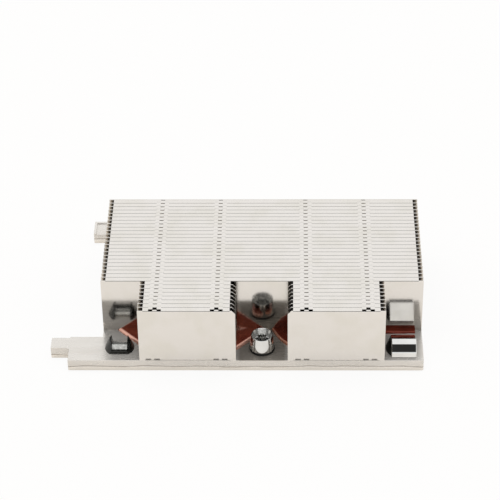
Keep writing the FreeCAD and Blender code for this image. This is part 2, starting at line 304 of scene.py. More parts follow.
def softened(
    source: Object,
    width_mm: float,
    segments: int,
    name: str,
    smooth_deg: float = 24.0,
    edge_deg: float = 26.0,
) -> Object:
    """Rounds a closed object's sharp edges slightly and bakes it.

    Args:
        source: the closed object, which is used up.
        width_mm: width of the rounding.
        segments: steps of the rounding.
        name: the new object's name.
        smooth_deg: faces that meet at less than this shade as one.
        edge_deg: faces that meet at less than this keep their edge as it is.

    Returns:
        The plain mesh object.
    """
    bevel = source.modifiers.new("soft_edges", "BEVEL")
    bevel.width = width_mm * MM
    bevel.segments = segments
    bevel.limit_method = "ANGLE"
    bevel.angle_limit = math.radians(edge_deg)
    bevel.use_clamp_overlap = True
    soft = baked(source, name)
    soft.data.shade_smooth()
    soft.data.set_sharp_from_angle(angle=math.radians(smooth_deg))
    return soft


def face_outwards(piece: Object) -> None:
    """Turns every face of a closed piece outwards.

    Args:
        piece: the closed piece.
    """
    skin = bmesh.new()
    skin.from_mesh(piece.data)
    bmesh.ops.recalc_face_normals(skin, faces=skin.faces)
    skin.to_mesh(piece.data)
    skin.free()


def drawn_out(name: str, rings: list[list[Point]]) -> Object:
    """Makes a closed piece that has the same outline at both of its ends.

    Args:
        name: the piece's name.
        rings: the outline's points at each end, in millimetres.

    Returns:
        The piece, with its faces outwards.
    """
    count = len(rings[0])
    faces = [(i, (i + 1) % count, count + (i + 1) % count, count + i) for i in range(count)]
    faces += [tuple(range(count)), tuple(range(count, 2 * count))]
    piece = piece_from(name, rings[0] + rings[1], faces)
    face_outwards(piece)
    return piece


def box_mm(node: str) -> tuple[Point, Point]:
    """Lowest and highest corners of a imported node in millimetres."""
    low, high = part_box(node)
    return tuple(c / MM for c in low), tuple(c / MM for c in high)


def inward_from(end: str) -> int:
    """Sign of Y that leads from one end's long edge towards the fins."""
    return 1 if end == "front" else -1


def settle(piece: Object, body: str, material: Material, slot: str, *nodes: str) -> None:
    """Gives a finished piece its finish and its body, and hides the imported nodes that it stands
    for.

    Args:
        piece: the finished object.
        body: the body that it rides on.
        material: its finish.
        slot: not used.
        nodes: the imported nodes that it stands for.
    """
    piece.data.materials.clear()
    piece.data.materials.append(material)
    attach(piece, body)
    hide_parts(*nodes)
    LOG.info("%s: %d faces", piece.name, len(piece.data.polygons))


def dress(prefix: str, material: Material) -> None:
    """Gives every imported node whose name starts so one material.

    Args:
        prefix: start of the nodes' names.
        material: the finish.
    """
    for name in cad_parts:
        if name.startswith(prefix):
            for slot in bpy.data.objects[name].material_slots:
                slot.material = material


# ---- finishes -----------------------------------------------------------------------------------
@dataclass(frozen=True)
class WorkedMetal:
    """A metal with a fine worked surface: its grain breaks up the highlights, and its colour
    and its gloss drift a little from place to place."""

    name: str
    tints: tuple[str, str]
    roughness: Pair
    grain_mm: float
    grain_detail: float = 2.0
    grain_stretch: Point = (1.0, 1.0, 1.0)
    cloud_mm: float = 6.0
    cloud_detail: float = 3.0
    cloud_roughness: float = 0.6
    cloud_span: Pair = (0.38, 0.66)
    clouds_stretched: bool = True
    bump_strength: float = 0.1
    bump_mm: float = 0.02
    metallic: float = 1.0
    # painted highlight: a pale tint where the surface turns away from level, up to a limit in x
    edge_highlight_tint: str = ""
    edge_highlight_tilt: Pair = (0.98, 0.86)
    edge_highlight_until_mm: float = 100.0
    edge_highlight_fade_mm: float = 3.0
    braze_tint: str = ""
    braze_mm: float = 1.75
    braze_sway_mm: float = 0.5
    braze_span: Pair = (0.3, 0.7)
    braze_waves_mm: float = 14.0
    braze_half_mm: Pair = (0.16, 0.08)
    braze_share: float = 0.8
    # painted shade: a darker tint on the plate's face between the front blocks
    notch_shade_tint: str = ""
    shade_half_mm: float = 9.0
    shade_full_mm: float = 7.2
    shade_end_mm: float = -20.0
    face_mm: Pair = (4.2, 4.38)

    def painted_edge_highlight(self, tree: NodeTree, axes: Sockets) -> Node:
        """Finds where the surface turns away from level, where a pale tint is painted on as a
        highlight.

        Args:
            tree: the material's tree.
            axes: the sockets of the place on the object.

        Returns:
            The share of the painted highlight's tint.
        """
        facing = add_node(tree, "ShaderNodeNewGeometry").outputs["Normal"]
        upward = add_node(tree, "ShaderNodeSeparateXYZ", {0: facing}).outputs["Z"]
        end_mm, start_mm = self.edge_highlight_until_mm, self.edge_highlight_until_mm + self.edge_highlight_fade_mm
        return where_all(
            tree, Ramp(upward, *self.edge_highlight_tilt), Ramp(axes["X"], start_mm * MM, end_mm * MM)
        )

    def brazed(self, tree: NodeTree, axes: Sockets) -> Node:
        """Finds the thin dark line, wavering in height, where the base's layers are brazed.

        Args:
            tree: the material's tree.
            axes: the sockets of the place on the object.

        Returns:
            The share of the braze's tint.
        """
        level = add_node(tree, "ShaderNodeCombineXYZ", {"X": axes["X"], "Y": axes["Y"]})
        waves = add_node(
            tree,
            "ShaderNodeTexNoise",
            {"Vector": level},
            values={"Scale": 1 / (self.braze_waves_mm * MM), "Detail": self.grain_detail},
        )
        low, high = self.braze_mm - self.braze_sway_mm, self.braze_mm + self.braze_sway_mm
        height = add_node(
            tree,
            "ShaderNodeMapRange",
            {"Value": waves},
            values={
                "From Min": self.braze_span[0],
                "From Max": self.braze_span[1],
                "To Min": low * MM,
                "To Max": high * MM,
            },
        )
        away = add_node(tree, "ShaderNodeMath", {0: axes["Z"], 1: height}, operation="SUBTRACT")
        off_line = add_node(tree, "ShaderNodeMath", {0: away}, operation="ABSOLUTE")
        outer, inner = self.braze_half_mm
        return add_node(
            tree,
            "ShaderNodeMapRange",
            {"Value": off_line},
            values={"From Min": outer * MM, "From Max": inner * MM, "To Max": self.braze_share},
        )

    def painted_notch_shade(self, tree: NodeTree, axes: Sockets) -> Node:
        """Finds the plate's face between the front blocks, where shade is painted into its colour.

        Args:
            tree: the material's tree.
            axes: the sockets of the place on the object.

        Returns:
            The share of the painted shade's tint.
        """
        aside = add_node(tree, "ShaderNodeMath", {0: axes["X"]}, operation="ABSOLUTE")
        under, face = self.face_mm
        return where_all(
            tree,
            Ramp(axes["Z"], under * MM, face * MM),
            Ramp(axes["Y"], 0.0, self.shade_end_mm * MM),
            Ramp(aside, self.shade_half_mm * MM, self.shade_full_mm * MM),
        )

    def build(self) -> Material:
        """Builds the metal's material.

        Returns:
            The material.
        """
        material, tree = new_material(self.name)
        places = add_node(tree, "ShaderNodeTexCoord").outputs["Object"]
        stretched = add_node(
            tree, "ShaderNodeMapping", {"Vector": places}, values={"Scale": self.grain_stretch}
        )
        grain = add_node(
            tree,
            "ShaderNodeTexNoise",
            {"Vector": stretched},
            values={"Scale": 1 / (self.grain_mm * MM), "Detail": self.grain_detail},
        )
        clouds = add_node(
            tree,
            "ShaderNodeTexNoise",
            {"Vector": stretched if self.clouds_stretched else places},
            values={
                "Scale": 1 / (self.cloud_mm * MM),
                "Detail": self.cloud_detail,
                "Roughness": self.cloud_roughness,
            },
        )
        share = add_node(
            tree,
            "ShaderNodeMapRange",
            {"Value": clouds},
            values={"From Min": self.cloud_span[0], "From Max": self.cloud_span[1]},
        )
        colour = add_node(
            tree,
            "ShaderNodeMix",
            {0: share},
            values={6: linear(self.tints[0]), 7: linear(self.tints[1])},
            data_type="RGBA",
        )
        axes = add_node(tree, "ShaderNodeSeparateXYZ", {0: places}).outputs
        layers = (
            # painted highlight where the surface turns away from level
            (self.edge_highlight_tint, self.painted_edge_highlight),
            (self.braze_tint, self.brazed),
            # painted shade on the plate's face between the front blocks
            (self.notch_shade_tint, self.painted_notch_shade),
        )
        for tint, found in layers:
            if tint:
                colour = add_node(
                    tree,
                    "ShaderNodeMix",
                    {0: found(tree, axes), 6: colour.outputs[2]},
                    values={7: linear(tint)},
                    data_type="RGBA",
                )
        rough = add_node(
            tree,
            "ShaderNodeMapRange",
            {"Value": share if self.clouds_stretched else clouds},
            values={"To Min": self.roughness[0], "To Max": self.roughness[1]},
        )
        bump = add_node(
            tree,
            "ShaderNodeBump",
            {"Height": grain},
            values={"Strength": self.bump_strength, "Distance": self.bump_mm * MM},
        )
        shader = add_node(
            tree,
            "ShaderNodeBsdfPrincipled",
            {"Base Color": colour.outputs[2], "Roughness": rough, "Normal": bump},
            values={"Metallic": self.metallic},
        )
        add_node(tree, "ShaderNodeOutputMaterial", {"Surface": shader})
        return material


# Cold-rolled fin sheet: nearly a mirror, with faint rolling streaks along its run and faint warm
# clouds where the rolls left it duller.
ROLLED_SHEET = WorkedMetal(
    name="rolled_aluminium_sheet",
    tints=("E9E5E0", "E5E1DA"),
    roughness=(0.1, 0.13),
    grain_mm=0.4,
    grain_stretch=(0.05, 1.0, 1.0),
    cloud_mm=9.0,
    cloud_roughness=0.5,
    cloud_span=(0.45, 0.65),
    clouds_stretched=False,
    bump_strength=0.02,
)
# Fine-ground plate under a thin oxide film: it mirrors softly, and the film's haze lifts its darks.
GROUND_PLATE = WorkedMetal(
    name="ground_aluminium_plate",
    tints=("E9E5DF", "E1DCD5"),
    roughness=(0.24, 0.3),
    grain_mm=0.3,
    grain_stretch=(0.2, 1.0, 1.0),
    bump_strength=0.08,
    metallic=0.55,
    braze_tint="8A7B6C",
    # painted shade on the plate's face between the front blocks
    notch_shade_tint="A29B92",
)
# Milled lower plate: long soft tool lines along its length.
MILLED_PLATE = WorkedMetal(
    name="milled_aluminium_plate",
    tints=("F4EFE8", "ECE6DD"),
    roughness=(0.14, 0.24),
    grain_mm=0.6,
    grain_stretch=(0.06, 1.0, 1.0),
    bump_strength=0.25,
    metallic=0.85,
    braze_tint="8A7B6C",
)
# Drawn copper tube, flattened and tarnished: red brown faces, and a pale painted highlight on its
# rolled sides.
DRAWN_COPPER = WorkedMetal(
    name="drawn_copper_tube",
    tints=("B05A43", "8C3B29"),
    roughness=(0.2, 0.3),
    grain_mm=3.0,
    cloud_mm=7.0,
    bump_strength=0.02,
    metallic=0.5,
    edge_highlight_tint="EDB6A2",
)
# The same tube, darker red brown, with a less pale painted highlight on its rolled sides that fades
# out between x = 28 and 31 mm.
DARKER_COPPER = replace(
    DRAWN_COPPER,
    name="browned_copper_tube",
    tints=("8C3B29", "6B291B"),
    edge_highlight_tint="DD9C82",
    edge_highlight_until_mm=28.0,
)
# Bright nickel plate: a clean mirror, only faintly uneven.
BRIGHT_NICKEL = WorkedMetal(
    name="bright_nickel_plate",
    tints=("E9E9E7", "DFDFDD"),
    roughness=(0.03, 0.07),
    grain_mm=2.5,
    bump_strength=0.05,
)
# Satin nickel: the same plating where it was only tumbled, so it spreads what it mirrors.
SATIN_NICKEL = WorkedMetal(
    name="satin_nickel_plate",
    tints=("CFCFCB", "A8A8A4"),
    roughness=(0.2, 0.32),
    grain_mm=0.7,
    cloud_mm=1.2,
    bump_strength=0.25,
    metallic=0.7,
)
# Black nylon washer: matt, slightly grainy.
BLACK_NYLON = WorkedMetal(
    name="black_nylon",
    tints=("0B0B0B", "141312"),
    roughness=(0.42, 0.55),
    grain_mm=0.3,
    metallic=0.0,
)
# Blackened spring steel: deep black with a soft gloss.
BLACKENED_STEEL = WorkedMetal(
    name="blackened_spring_steel",
    tints=("0A0B09", "151611"),
    roughness=(0.2, 0.32),
    grain_mm=0.4,
    metallic=0.0,
)


# ---- fins ---------------------------------------------------------------------------------------
@dataclass(frozen=True)
class FoldedFin:
    """One folded fin, drawn with its front face at y = 0, in millimetres.

    A grid of cells covers the outer side of the sheet: columns run across the fin, rows run from
    the back edge of the top flange over the upright sheet to the back edge of the foot flange."""

    x0: float
    x1: float
    z0: float
    z1: float
    pitch: float
    locks: tuple[float, ...]
    foot_locks: tuple[float, ...] = ()
    leading: bool = False
    last: bool = False
    bevel_side: int = 0
    lip: float = 1.65
    sheet: float = 0.3
    fold: float = 0.33
    fold_steps: int = 3
    flange_rows: int = 4
    upright_rows: int = 3
    slot: Pair = (0.7, 2.1)
    slot_deep: float = 0.75
    tongue_fit: float = 0.05
    window_deep: float = 0.32
    leading_window_deep: float = 1.2
    leading_slot_deep: float = 1.05
    foot_slot: Pair = (0.5, 2.35)
    foot_high: float = 0.75
    bevel: float = 1.2
    joint_gap: float = 0.04

    @property
    def fold_end(self) -> int:
        """Grid line where the top fold meets the upright sheet."""
        return self.flange_rows + self.fold_steps

    @property
    def foot_start(self) -> int:
        """Grid line where the upright sheet meets the foot's fold."""
        return self.fold_end + self.upright_rows

    def columns(self) -> list[float]:
        """Finds the places across the fin where its cells begin and end.

        Returns:
            The places, from left to right.
        """
        marks = {self.x0, self.x0 + self.lip, self.x1 - self.lip, self.x1}
        for lock in self.locks:
            marks.update(lock + turn * reach for turn in (-1, 1) for reach in self.slot)
        for lock in self.foot_locks:
            marks.update(lock + turn * reach for turn in (-1, 1) for reach in self.foot_slot)
        return sorted(marks)

    def stations(self) -> list[Station]:
        """Outer point and inward direction of every grid line, from top flange to foot flange.

        Returns:
            Rows of y, z, and the y and z of the unit direction into the sheet.
        """
        back = self.pitch - self.joint_gap
        window = self.leading_window_deep if self.leading else self.window_deep
        slot = self.leading_slot_deep if self.leading else self.slot_deep
        marks = [self.pitch + self.slot_deep - self.tongue_fit]
        marks += sorted((back, self.pitch - window, slot), reverse=True)
        top = [(y, self.z1, 0.0, -1.0) for y in marks]
        turns = range(self.fold_steps + 1)
        over = [self.fold_point(i, self.z1 - self.fold, 1) for i in turns]
        heights = (self.z1 - self.bevel, self.z0 + self.foot_high)
        upright = [(0.0, z, 1.0, 0.0) for z in heights]
        under = [self.fold_point(i, self.z0 + self.fold, -1) for i in reversed(turns)]
        return top + over + upright + under + [(back, self.z0, 0.0, 1.0)]

    def fold_point(self, step: int, middle: float, up: int) -> Station:
        """One point of a fold's outer arc.

        Args:
            step: 0 at the flange's end of the arc.
            middle: height of the arc's centre.
            up: 1 for the top fold, -1 for the foot fold.

        Returns:
            Its y, z and the direction into the sheet.
        """
        turn = math.radians(90) * step / self.fold_steps
        out_y, out_z = -math.sin(turn), up * math.cos(turn)
        return self.fold + self.fold * out_y, middle + self.fold * out_z, -out_y, -out_z

    def covers(self, x: float, row: int) -> bool:
        """Whether the sheet fills the cell that lies at x in a grid row.

        Args:
            x: the cell's middle across the fin.
            row: the cell's row, from the tongues' row 0 down to the foot flange.

        Returns:
            False where the sheet is open or ends before this cell.
        """
        if x < self.x0 + self.lip or x > self.x1 - self.lip:
            return self.fold_end <= row < self.foot_start
        reach = min((abs(x - lock) for lock in self.locks), default=FAR_MM)
        in_slot = self.slot[0] < reach < self.slot[1]
        if row == 0:
            return not self.last and in_slot
        if row == 1:
            return reach > self.slot[0]
        if row == 2 and self.leading:
            return reach > self.slot[1]
        if 3 <= row < self.fold_end and in_slot:
            return False
        foot = min((abs(x - lock) for lock in self.foot_locks), default=FAR_MM)
        slotted = self.foot_slot[0] < foot < self.foot_slot[1]
        return not (slotted and self.foot_start - 1 <= row < self.foot_start + self.fold_steps)

    def cells(self, columns: list[float], rows: int) -> list[Cell]:
        """Cells that the sheet fills, with the bare sheet's ends above and below the folds.

        Args:
            columns: the grid's columns.
            rows: how many rows the grid has.

        Returns:
            Each cell's corners: column and row, or "top" or "foot" and a column.
        """
        cells: list[Cell] = []
        for row in range(rows):
            for i, (a, b) in enumerate(zip(columns, columns[1:])):
                if self.covers((a + b) / 2, row):
                    cells.append(((i, row), (i, row + 1), (i + 1, row + 1), (i + 1, row)))
        start, end = self.fold_end, self.foot_start
        for i in (0, len(columns) - 2):
            cells.append((("top", i), (i, start), (i + 1, start), ("top", i + 1)))
            cells.append(((i, end), ("foot", i), ("foot", i + 1), (i + 1, end)))
        return cells

    def build(self, name: str) -> Object:
        """Builds the fin as one closed sheet.

        Args:
            name: the object's name.

        Returns:
            The fin's object.
        """
        columns, stations = self.columns(), self.stations()
        cells = self.cells(columns, len(stations) - 1)
        edges = dict.fromkeys((c[k], c[(k + 1) % 4]) for c in cells for k in range(4))
        points: list[Point] = []
        numbers: dict[tuple[Corner, bool], int] = {}
        faces: list[Face] = []

        def number(key: Corner, inner: bool) -> int:
            """Numbers a corner, which is added when it is first asked for.

            Args:
                key: the corner.
                inner: whether it lies on the inner side of the sheet.

            Returns:
                Its number among the points.
            """
            if (key, inner) not in numbers:
                numbers[(key, inner)] = len(points)
                points.append(self.corner(key, inner, columns, stations))
            return numbers[(key, inner)]

        for cell in cells:
            faces.append(tuple(number(key, False) for key in cell))
            faces.append(tuple(number(key, True) for key in reversed(cell)))
        for a, b in edges:
            if (b, a) not in edges:
                rim = ((b, False), (a, False), (a, True), (b, True))
                faces.append(tuple(number(*corner) for corner in rim))
        return piece_from(name, points, faces)

    def corner(
        self, key: Corner, inner: bool, columns: list[float], stations: list[Station]
    ) -> Point:
        """Place of one corner of the sheet.

        Args:
            key: column and row, or "top" or "foot" and a column at the fin's ends.
            inner: whether it lies on the inner side of the sheet.
            columns: the grid's columns.
            stations: the grid's rows.

        Returns:
            Its point in millimetres.
        """
        deep = self.sheet if inner else 0.0
        bevelled_end = {-1: 0, 0: -1, 1: len(columns) - 1}[self.bevel_side]
        if key[0] in ("top", "foot"):
            x = columns[key[1]]
            if key == ("top", bevelled_end):
                x -= self.bevel_side * self.bevel
            return (x, deep, self.z1 if key[0] == "top" else self.z0)
        x = columns[key[0]]
        if key == (bevelled_end, self.fold_end):
            x -= self.bevel_side * (self.bevel - self.fold)
        y, z, in_y, in_z = stations[key[1]]
        return (x, y + in_y * deep, z + in_z * deep)


@dataclass
class FinStack:
    """Two short blocks of fins beside the front notches and one block across the whole base."""

    top_locks: tuple[float, ...] = (-35.1, -14.8, 14.8, 35.1)
    foot_locks: tuple[float, ...] = (-36.4, -13.8, 13.5, 36.1)
    front_rows: int = 8
    full_rows: int = 23
    block_lip: float = 1.8
    waver_mm: float = 0.03
    seed: int = 7

    def rows_tree(self) -> NodeTree:
        """Makes the tree that sets copies of one fin in a row, each a hair out of line.

        Returns:
            The tree, with its sizes as named inputs.
        """
        kinds = {
            "Fin": "Object",
            "Rows": "Int",
            "First": "Vector",
            "Step": "Vector",
            "Waver": "Vector",
            "Seed": "Int",
            "Finish": "Material",
        }
        tree, asked = new_group("fin_rows", kinds)
        places = add_node(
            tree,
            "GeometryNodeMeshLine",
            {"Count": asked["Rows"], "Start Location": asked["First"], "Offset": asked["Step"]},
        )
        least = add_node(
            tree,
            "ShaderNodeVectorMath",
            {0: asked["Waver"]},
            values={"Scale": -1.0},
            operation="SCALE",
        )
        out_of_line = add_node(
            tree,
            "FunctionNodeRandomValue",
            {0: least, 1: asked["Waver"], "Seed": asked["Seed"]},
            data_type="FLOAT_VECTOR",
        )
        moved = add_node(
            tree, "GeometryNodeSetPosition", {"Geometry": places, "Offset": out_of_line}
        )
        source = add_node(tree, "GeometryNodeObjectInfo", {"Object": asked["Fin"]})
        copies = add_node(
            tree,
            "GeometryNodeInstanceOnPoints",
            {"Points": moved, "Instance": source.outputs["Geometry"]},
        )
        end_group(tree, copies, asked["Finish"])
        return tree

    def rows(
        self,
        tree: NodeTree,
        fin: FoldedFin,
        name: str,
        first_y: float,
        nodes: list[str],
        finish: Material,
    ) -> None:
        """Sets one kind of fin in rows, which ride on the base in place of their packed fins.

        Args:
            tree: the tree that makes the rows.
            fin: the fin to repeat.
            name: the finished piece's name.
            first_y: front face of the first row, in millimetres.
            nodes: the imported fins, one for each row.
            finish: the sheet's material.
        """
        source = fin.build(name + "_source")
        holder = placed(name + "_rows", bpy.data.meshes.new(name + "_rows"))
        values = {
            "Fin": source,
            "Rows": len(nodes),
            "First": (0.0, first_y * MM, 0.0),
            "Step": (0.0, fin.pitch * MM, 0.0),
            "Waver": (self.waver_mm * MM, 0.0, 0.0),
            "Seed": self.seed,
            "Finish": finish,
        }
        apply_group(holder, tree, values)
        piece = baked(holder, name)
        bpy.data.objects.remove(source)
        settle(piece, "heatsink", finish, "fins", *nodes)

    def fin_like(self, node: str, pitch: float) -> FoldedFin:
        """A fin as large as a packed one, inset by the rows' waver.

        Args:
            node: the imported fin.
            pitch: distance from row to row.

        Returns:
            The fin, with the top locks that it is wide enough for.
        """
        low, high = box_mm(node)
        locks = tuple(x for x in self.top_locks if low[0] < x < high[0])
        left, right = low[0] + self.waver_mm, high[0] - self.waver_mm
        return FoldedFin(left, right, low[2], high[2], pitch, locks)

    def build(self, finish: Material) -> None:
        """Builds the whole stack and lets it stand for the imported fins.

        Args:
            finish: the sheet's material.
        """
        tree = self.rows_tree()
        for side in Side:
            stem = f"fin_front_{side.value}_"
            low, high = box_mm(stem + "01")
            pitch = box_mm(stem + "02")[0][1] - low[1]
            names = [f"{stem}{n:02d}" for n in range(1, self.front_rows + 1)]
            rest = replace(
                self.fin_like(names[0], pitch),
                lip=self.block_lip,
                bevel_side=1 if side is Side.LEFT else -1,
            )
            feet = tuple(x for x in self.foot_locks if low[0] < x < high[0])
            lead = replace(rest, foot_locks=feet, leading=True)
            self.rows(tree, lead, f"leading_fin_{side.value}", low[1], names[:1], finish)
            second = low[1] + pitch
            self.rows(tree, rest, f"front_fins_{side.value}", second, names[1:], finish)
        first = box_mm("fin_full_01")[0][1]
        wide = self.fin_like("fin_full_01", pitch)
        names = [f"fin_full_{n:02d}" for n in range(1, self.full_rows + 1)]
        self.rows(tree, wide, "full_fins", first, names[:-1], finish)
        end_y = first + pitch * (self.full_rows - 1)
        self.rows(tree, replace(wide, last=True), "last_fin", end_y, names[-1:], finish)
        dress("fin_end", finish)


# ---- heat pipes ---------------------------------------------------------------------------------
@dataclass
class HeatPipe:
    """One flattened copper pipe that follows its route through the base."""

    side: Side
    route: tuple[Pair, ...]
    roll: float
    wide: float = 7.5
    high: float = 2.8
    proud: float = 0.9
    plate_top: float = 4.4
    bend_r: float = 11.0
    bend_steps: int = 14
    roll_steps: int = 5
    tip_steps: int = 7
    tip_deg: float = 88.0

    def tree(self) -> NodeTree:
        """Makes the tree that carries a flattened section along a rounded route.

        Returns:
            The tree, with its sizes as named inputs.
        """
        kinds = {
            "Bend radius": "Float",
            "Bend steps": "Int",
            "Width": "Float",
            "Height": "Float",
            "Side roll": "Float",
            "Roll steps": "Int",
            "Finish": "Material",
        }
        tree, asked = new_group("flattened_pipe", kinds)
        bent = add_node(
            tree,
            "GeometryNodeFilletCurve",
            {0: asked[0], "Radius": asked["Bend radius"], "Count": asked["Bend steps"]},
            mode="POLY",
        )
        level = add_node(tree, "GeometryNodeSetCurveNormal", {0: bent}, mode="Z_UP")
        flat = add_node(
            tree,
            "GeometryNodeCurvePrimitiveQuadrilateral",
            {"Width": asked["Width"], "Height": asked["Height"]},
        )
        section = add_node(
            tree,
            "GeometryNodeFilletCurve",
            {0: flat, "Radius": asked["Side roll"], "Count": asked["Roll steps"]},
            mode="POLY",
        )
        skin = add_node(
            tree, "GeometryNodeCurveToMesh", {0: level, 1: section}, values={"Fill Caps": True}
        )
        smooth = add_node(tree, "GeometryNodeSetShadeSmooth", {0: skin})
        end_group(tree, smooth, asked["Finish"])
        return tree

    def spots(self) -> list[Point]:
        """Points of the route, with a tip that rounds off beyond its last corner.

        Returns:
            Place in plan, and the pipe's size there as a share of its full size.
        """
        spots = [(x, y, 1.0) for x, y in self.route]
        (ax, ay), (bx, by) = self.route[-2:]
        run = math.hypot(bx - ax, by - ay)
        ux, uy = (bx - ax) / run, (by - ay) / run
        for i in range(1, self.tip_steps + 1):
            turn = math.radians(self.tip_deg) * i / self.tip_steps
            reach = self.wide / 2 * math.sin(turn)
            spots.append((bx + ux * reach, by + uy * reach, math.cos(turn)))
        return spots

    def build(self, finish: Material) -> None:
        """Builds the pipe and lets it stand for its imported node.

        Args:
            finish: the copper's material.
        """
        name = f"heat_pipe_{self.side.value}"
        z = self.plate_top + self.proud - self.high / 2
        spots = self.spots()
        data = bpy.data.curves.new(name + "_route", "CURVE")
        data.dimensions = "3D"
        spline = data.splines.new("POLY")
        spline.points.add(len(spots) - 1)
        for point, (x, y, size) in zip(spline.points, spots):
            point.co = (x * MM, y * MM, z * MM, 1.0)
            point.radius = size
        path = placed(name + "_route", data)
        values = {
            "Bend radius": self.bend_r * MM,
            "Bend steps": self.bend_steps,
            "Width": self.wide * MM,
            "Height": self.high * MM,
            "Side roll": self.roll * MM,
            "Roll steps": self.roll_steps,
            "Finish": finish,
        }
        apply_group(path, self.tree(), values)
        settle(baked(path, name + "_tube"), "heatsink", finish, "copper", name)


# ---- turned pieces ------------------------------------------------------------------------------
def turned(
    name: str,
    centre: Point,
    rings: list[Point],
    steps: int,
    lobes: int = 6,
    lobe_power: float = 0.8,
    smooth_deg: float = 32.0,
) -> Object:
    """Makes a closed turned shape from rings, some of which may be lobed.

    Args:
        name: the object's name.
        centre: the axis and the height from which the rings are measured, in millimetres.
        rings: outer radius, inner radius of the lobes, and height of each ring, from the outside
            foot over the top and down inside. The two radii are alike on a plain ring.
        steps: points round each ring.
        lobes: lobes of a lobed ring.
        lobe_power: below 1 the lobes are blunter than waves.
        smooth_deg: faces that meet at less than this shade as one.

    Returns:
        The object, closed at both ends by a flat face.
    """
    points: list[Point] = []
    for tip, root, z in rings:
        for i in range(steps):
            turn = 2 * math.pi * i / steps
            share = (0.5 + 0.5 * math.cos(lobes * turn)) ** lobe_power
            r = root + (tip - root) * share
            x, y = centre[0] + r * math.cos(turn), centre[1] + r * math.sin(turn)
            points.append((x, y, centre[2] + z))
    faces: list[Face] = []
    top = (len(rings) - 1) * steps
    for start in range(0, top, steps):
        for i in range(steps):
            j = (i + 1) % steps
            faces.append((start + i, start + j, start + steps + j, start + steps + i))
    faces.append(tuple(reversed(range(steps))))
    faces.append(tuple(range(top, top + steps)))
    return piece_from(name, points, faces, smooth_deg)


@dataclass
class CaptiveNut:
    """A bright captive nut: a tapered head with a thin rolled rim round a satin funnel, which
    leads into a six-lobed drive recess."""

    end: str
    shank_r: float = 2.95
    rim_r: float = 3.62
    foot_r: float = 4.12
    mouth_r: float = 3.34
    mouth_floor_r: float = 2.55
    mouth_deep: float = 1.5
    drive_tip: float = 2.3
    drive_root: float = 1.5
    drive_deep: float = 2.6
    round_r: float = 0.12
    round_share: float = 0.3
    funnel_rings: tuple[int, int] = (8, 10)
    steps: int = 96

    def build(self, nickel: Material, satin: Material, nylon: Material) -> None:
        """Builds the nut's head and dresses its washer.

        Args:
            nickel: the plating.
            satin: the plating of the funnel, which isn't polished.
            nylon: the washer's material.
        """
        node = f"nut_{self.end}"
        low, high = box_mm(node)
        seat = box_mm(f"nut_washer_{self.end}")[1][2]
        middle = ((low[0] + high[0]) / 2, (low[1] + high[1]) / 2, 0.0)
        crown, r, mid = high[2], self.round_r, self.round_r * self.round_share
        floor = crown - self.mouth_deep
        plain = [
            (self.shank_r, low[2]),
            (self.shank_r, seat),
            (self.foot_r - r, seat),
            (self.foot_r, seat + r),
            (self.rim_r, crown - r),
            (self.rim_r - mid, crown - mid),
            (self.rim_r - r, crown),
            (self.mouth_r + r, crown),
            (self.mouth_r, crown - r),
            (self.mouth_floor_r, floor),
        ]
        drive = [
            (self.drive_tip + r, self.drive_root + r, floor),
            (self.drive_tip, self.drive_root, floor - r),
            (self.drive_tip, self.drive_root, floor - self.drive_deep),
        ]
        rings = [(reach, reach, z) for reach, z in plain] + drive
        nut = turned(f"captive_nut_{self.end}", middle, rings, self.steps)
        settle(nut, f"{self.end}_nut", nickel, "bright_nickel", node)
        nut.data.materials.append(satin)
        first, end = (ring * self.steps for ring in self.funnel_rings)
        for face in nut.data.polygons[first:end]:
            face.material_index = 1
        dress(f"nut_washer_{self.end}", nylon)


# ---- catches and plate --------------------------------------------------------------------------
@dataclass(frozen=True)
class Hood:
    """The fold of one kind of hood, in millimetres and degrees: where its toe stands from the
    plate's long edge, its spans with their tilts, and the rounding of its edges."""

    toe: float
    spans: tuple[Pair, ...]
    edge: float

    def profile(self) -> list[Pair]:
        """Outline of the hood's end, from the toe's foot over the crown to the back's foot.

        Returns:
            Distances from the plate's long edge and heights over the plate, in millimetres.
        """
        reach, high = self.toe, 0.0
        outline = [(reach, high)]
        for span, tilt in self.spans:
            reach += span * math.cos(math.radians(tilt))
            high += span * math.sin(math.radians(tilt))
            outline.append((reach, high))
        outline.append((reach, 0.0))
        return outline


TALL_HOOD = Hood(1.3, ((2.0, 77.0), (2.9, 38.0), (2.43, 14.0), (7.0, -30.0)), 0.22)
LOW_HOOD = Hood(4.5, ((0.8, 52.0), (1.9, 20.0), (1.2, 3.0), (1.0, -20.0)), 0.12)


